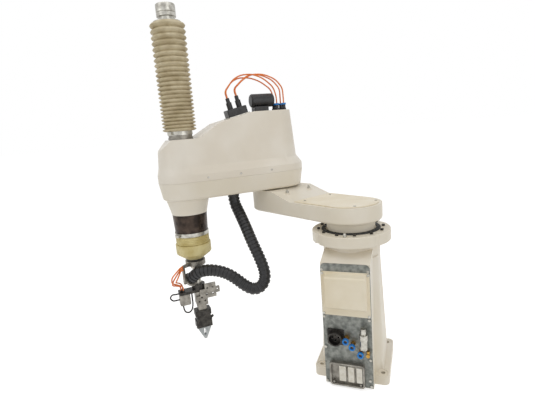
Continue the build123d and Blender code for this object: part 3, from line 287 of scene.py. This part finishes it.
def softened(node, finish, body, edge_mm, segments=2, crease_degrees=32):
    """A CAD node's form with its sharp edges broken by a small radius, as a coat or a mould leaves them."""
    form = bmesh.new()
    form.from_mesh(frame["nodes"][node].data)
    bmesh.ops.remove_doubles(form, verts=form.verts, dist=weld_distance)
    bmesh.ops.dissolve_limit(
        form, angle_limit=math.radians(flat_degrees), verts=form.verts, edges=form.edges, delimit={"NORMAL"}
    )
    mesh = bpy.data.meshes.new(node + "_form")
    form.to_mesh(mesh)
    form.free()
    piece = link_up(node + "_form", mesh, finish, None, crease_degrees)
    edge = piece.modifiers.new("edge", "BEVEL")
    edge.width = edge_mm / 1000
    edge.segments = segments
    edge.limit_method = "ANGLE"
    edge.angle_limit = math.radians(crease_degrees)
    edge.use_clamp_overlap = True
    edge.miter_outer = "MITER_ARC"
    facing = piece.modifiers.new("facing", "WEIGHTED_NORMAL")
    facing.keep_sharp = False
    settled(piece)
    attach(piece, body)
    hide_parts(node)
    return piece


base_edge = 2.0
base_form = softened("base_casting", powder_coat, "base", base_edge)

# Materials of the other pieces: the real material with its process, tinted in patches and slightly grained.
# The columns are slot, name, colour, roughness, metal, two shades, and in mm the size of the patches,
# the size of the grain and its height.
gloss_spread = (-0.07, 0.09)
finishes = {"cream_casting": powder_coat}
for slot_name, title, colour, rough, metal, shades, patch, grain, height in (
    # The hood is injection moulded, satin, and a little warmer in patches.
    ("cream_plastic", "moulded cream ABS hood", "E5DED0", 0.38, 0, ("E2D9C9", "E9E2D5"), 150, 3, 0.04),
    # Sheet covers are stove enamelled in the same cream, a shade more yellow.
    ("cream_sheet", "cream stoved enamel on sheet", "EADFC6", 0.42, 0, ("E6DABF", "EEE4CE"), 90, 4, 0.05),
    # Zinc from the bath dries in grey patches a centimetre or so wide.
    (
        "galvanised_sheet",
        "hot dipped galvanised sheet",
        "7C7E7A",
        0.45,
        0.75,
        ("676A66", "8D8F8A"),
        14,
        2,
        0.03,
    ),
    # Screws, nuts and turned parts are bright zinc plated.
    ("zinc_steel", "zinc plated turned steel", "B4B2AB", 0.32, 0.95, ("A29F97", "C4C2BA"), 12, 1.5, 0.02),
    # Clamps, motors and the gripper are blacked in hot oxide salts and oiled.
    ("dark_steel", "black oxide steel", "3A3835", 0.42, 0.7, ("2C2A28", "4A4743"), 15, 1.5, 0.02),
    # The sleeve's bare steel has browned under a film of oil.
    ("sleeve_steel", "brown oiled steel sleeve", "3A302A", 0.34, 0.8, ("2B2420", "4C4038"), 25, 2, 0.02),
    # Milled aluminium, blasted with glass beads to a dull grey.
    ("grey_aluminium", "bead blasted aluminium", "8F8B83", 0.46, 0.8, ("7D7972", "9F9B93"), 20, 1, 0.03),
    # Seals and cable jackets are moulded or extruded rubber.
    ("black_rubber", "moulded black rubber", "161616", 0.62, 0, ("101010", "202020"), 20, 1, 0.03),
    # Conduit, plugs and fittings are injection moulded polyamide.
    ("black_plastic", "moulded black polyamide", "1B1B1C", 0.42, 0, ("141415", "262628"), 18, 1.2, 0.04),
    # The fittings' release rings are moulded acetal.
    ("blue_plastic", "moulded blue acetal", "1478C8", 0.35, 0, ("0F6DBA", "1B86D6"), 8, 1, 0.01),
    # Connector inserts are moulded in white.
    ("white_plastic", "moulded white polyamide", "E4DFD2", 0.45, 0, ("DAD4C5", "EAE6DB"), 12, 1, 0.02),
    # Fabric with a cream coating that has gone tan in use.
    ("white_bellows", "coated cream bellows fabric", "C3B595", 0.58, 0, ("B5A684", "D2C6A8"), 35, 1.5, 0.08),
    # The cup under the sleeve is yellow rubber from a mould.
    ("yellow_bellows", "moulded yellow bellows rubber", "D3C486", 0.55, 0, ("C6B578", "DDD09A"), 40, 2, 0.05),
    # Air lines are extruded and glossy.
    (
        "orange_tube",
        "extruded orange polyurethane tube",
        "E8761F",
        0.36,
        0,
        ("DF6A14", "F0883A"),
        15,
        2,
        0.01,
    ),
    # Fittings are turned from brass rod and left bare.
    ("brass", "turned brass fitting", "B98F45", 0.3, 0.95, ("A67C34", "CBA35A"), 10, 1, 0.02),
    # The gripper's fingers are machined from acrylic, greyed by the cutter.
    ("clear_plastic", "machined clear acrylic", "B9BDBE", 0.2, 0, ("B0B5B7", "C6CACB"), 12, 1, 0.01),
    # Toothed belts are cast rubber.
    ("belt_rubber", "black toothed belt rubber", "191919", 0.6, 0, ("131313", "222222"), 12, 1, 0.03),
):
    finish, tree, shader, place = new_finish(title, colour, rough, metal)
    drift_colour(tree, shader, place, shades, patch)
    drift_gloss(tree, shader, place, patch / 3, rough + gloss_spread[0], rough + gloss_spread[1])
    raise_grain(tree, shader, place, grain, height)
    finishes[slot_name] = finish

# The pieces whose CAD form is already right: bolts, fittings, motors and the like.
# Each keeps its solid and takes the finish of the material slot that the record gives it.
slots = {row["node"]: row["material_slot"] for row in frame["record"]["subparts"]}
for node, slot_name in slots.items():
    for holder in frame["nodes"][node].material_slots:
        holder.material = finishes[slot_name]

# Arm castings, the hood, covers and moulded blocks: cast, pressed or moulded, so no edge is sharp.
# Each is the solid with its edges broken by the radius in mm that its coat, die or mould leaves.
for node, body, edge_mm in (
    ("arm_1_casting", "arm_1", 2.5),
    ("arm_1_cover", "arm_1", 0.8),
    ("arm_2_casting", "arm_2", 2.0),
    ("arm_2_cover", "arm_2", 2.5),
    ("connector_box", "base", 1.2),
    ("connector_block", "arm_2", 1.0),
    ("solenoid_valve", "arm_2", 1.0),
    ("gripper_body", "tool_shaft", 0.6),
    ("shaft_cap", "z_carriage", 1.2),
):
    softened(node, finishes[slots[node]], body, edge_mm)


# Upper bellows over the spline: coated fabric sewn in twenty-four folds, wide at the top, close at the foot.
# It stands on the collar and is gripped by a band clamp.
def join_rings(form, rings):
    """Faces between each ring of points and the next."""
    for near, far in zip(rings, rings[1:]):
        for corners in zip(near, near[1:] + near[:1], far[1:] + far[:1], far):
            form.faces.new(corners)


def closed_mesh(name, form):
    """The finished mesh of a closed form, its faces outward."""
    bmesh.ops.recalc_face_normals(form, faces=form.faces)
    mesh = bpy.data.meshes.new(name)
    form.to_mesh(mesh)
    form.free()
    return mesh


def revolved(name, profile, centre, finish, steps=96):
    """A closed profile of radius and height in metres, turned about an upright axis."""
    form = bmesh.new()
    turn = [2 * math.pi * step / steps for step in range(steps)]
    rings = []
    for radius, level in profile:
        ring = [(centre[0] + radius * math.cos(a), centre[1] + radius * math.sin(a), level) for a in turn]
        rings.append([form.verts.new(point) for point in ring])
    join_rings(form, rings + rings[:1])
    return link_up(name, closed_mesh(name, form), finish, None)


upper_low, upper_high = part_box("upper_bellows")
spline_axis = ((upper_low[0] + upper_high[0]) / 2, (upper_low[1] + upper_high[1]) / 2)
upper_radius = (upper_high[0] - upper_low[0]) / 2
upper_height = upper_high[2] - upper_low[2]
upper_folds = 24
top_widening, widening_power = 0.8, 1.5
fold_depth, wall_depth = 0.011, 0.024
tip_points = ((0.28, 0.003), (0.5, 0.0004), (0.72, 0.003))
shares = [1 + top_widening * (fold / upper_folds) ** widening_power for fold in range(upper_folds)]
wall = [(upper_radius - wall_depth, upper_low[2]), (upper_radius - fold_depth, upper_low[2])]
level = upper_low[2]
for share in shares:
    pitch = upper_height * share / sum(shares)
    wall += [(upper_radius - depth, level + part * pitch) for part, depth in tip_points]
    level += pitch
    wall.append((upper_radius - fold_depth, level))
wall.append((upper_radius - wall_depth, upper_high[2]))
upper_form = revolved("upper_bellows_form", wall, spline_axis, finishes["white_bellows"])
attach(upper_form, "arm_2")
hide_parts("upper_bellows")
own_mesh(upper_form)

# Lower bellows under the steel sleeve: moulded rubber, five close folds above a smooth yellow cup.
# Its top is clamped to the sleeve and its foot to the collar.
lower_low, lower_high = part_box("lower_bellows")
cup_radius = (lower_high[0] - lower_low[0]) / 2
neck_radius, cone_height, cup_height = 0.031, 0.022, 0.058
neck_wall = 0.003
cone_inset, rim_height = 0.002, 0.003
lower_folds = 5
lower_tip_points = ((0.1, 0.006), (0.5, 0.003), (0.9, 0.006))
mouth_inset = 0.007
fold_start = lower_low[2] + cup_height
lower_pitch = (lower_high[2] - lower_low[2] - cup_height) / lower_folds
cup = [
    (neck_radius - neck_wall, lower_low[2]),
    (neck_radius, lower_low[2]),
    (cup_radius - cone_inset, lower_low[2] + cone_height),
    (cup_radius, lower_low[2] + cone_height + rim_height),
    (cup_radius, fold_start),
]
for fold in range(lower_folds):
    level = fold_start + fold * lower_pitch
    cup += [(cup_radius - depth, level + part * lower_pitch) for part, depth in lower_tip_points]
cup += [(cup_radius - mouth_inset, lower_high[2]), (neck_radius - neck_wall, lower_high[2])]
lower_form = revolved("lower_bellows_form", cup, spline_axis, finishes["yellow_bellows"])
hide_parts("lower_bellows")
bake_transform(lower_form)


# Cable conduit from arm 2 to the tool: black polyamide links snapped together.
# Its route hangs from the gland under the arm, turns up, and goes into the holder on the lower collar.
def spot_on(line, distance):
    """The point at that distance along a line, and the way the line goes there."""
    walked = 0.0
    for near, far in zip(line, line[1:]):
        step = (far - near).length
        if walked + step >= distance or far is line[-1]:
            break
        walked += step
    heading = (far - near).normalized()
    return near + heading * (distance - walked), heading


arm_bottom = 0.590
along, across = Vector((-0.6825, 0.7309, 0)), Vector((-0.7309, -0.6825, 0))
# Each point is in mm: along arm 2 from the spline's axis, to its left, and down from the arm's bottom.
conduit_route = (
    *((-169, -3, 12), (-169, -3, 42), (-177, 20, 77), (-182, 48, 109), (-186, 75, 141), (-190, 99, 173)),
    *((-197, 121, 206), (-204, 139, 238), (-209, 153, 270), (-205, 163, 299), (-187, 166, 321)),
    *((-161, 157, 328), (-137, 142, 314), (-114, 126, 290), (-87, 107, 269), (-55, 88, 257)),
    *((-21, 70, 254), (10, 50, 264), (28, 30, 290)),
)
route_curve = bpy.data.curves.new("conduit_route", "CURVE")
route_curve.dimensions = "3D"
route_curve.resolution_u = 16
spline = route_curve.splines.new("NURBS")
spline.points.add(len(conduit_route) - 1)
for point, (x, y, drop) in zip(spline.points, conduit_route):
    spot = Vector((*spline_axis, arm_bottom - drop / 1000)) + (along * x + across * y) / 1000
    point.co = (*spot, 1)
spline.order_u = 3
spline.use_endpoint_u = True
route_object = bpy.data.objects.new("conduit_route", route_curve)
route_mesh = bpy.data.meshes.new_from_object(route_object)
route_line = [vertex.co.copy() for vertex in route_mesh.vertices]
bpy.data.objects.remove(route_object)
route_length = sum((far - near).length for near, far in zip(route_line, route_line[1:]))

link_pitch, link_radius, groove_radius = 0.0135, 0.021, 0.0186
link_profile = ((0, groove_radius), (0.0008, link_radius), (0.0085, link_radius), (0.0093, groove_radius))
sections = []
for link in range(int(route_length / link_pitch)):
    sections += [(link * link_pitch + offset, radius) for offset, radius in link_profile]
sections.append((route_length, groove_radius))
link_sides, link_crease = 24, 30
turn = [2 * math.pi * side / link_sides for side in range(link_sides)]
form = bmesh.new()
rings = []
side_way = across.copy()
for distance, radius in sections:
    middle, heading = spot_on(route_line, distance)
    side_way = (side_way - side_way.dot(heading) * heading).normalized()
    other_way = heading.cross(side_way)
    ways = [math.cos(a) * side_way + math.sin(a) * other_way for a in turn]
    rings.append([form.verts.new(middle + radius * way) for way in ways])
join_rings(form, rings)
form.faces.new(rings[0])
form.faces.new(rings[-1])
conduit_mesh = closed_mesh("conduit_links", form)
conduit_links = link_up("conduit_links", conduit_mesh, finishes["black_plastic"], None, link_crease)
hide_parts("conduit")
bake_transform(conduit_links)
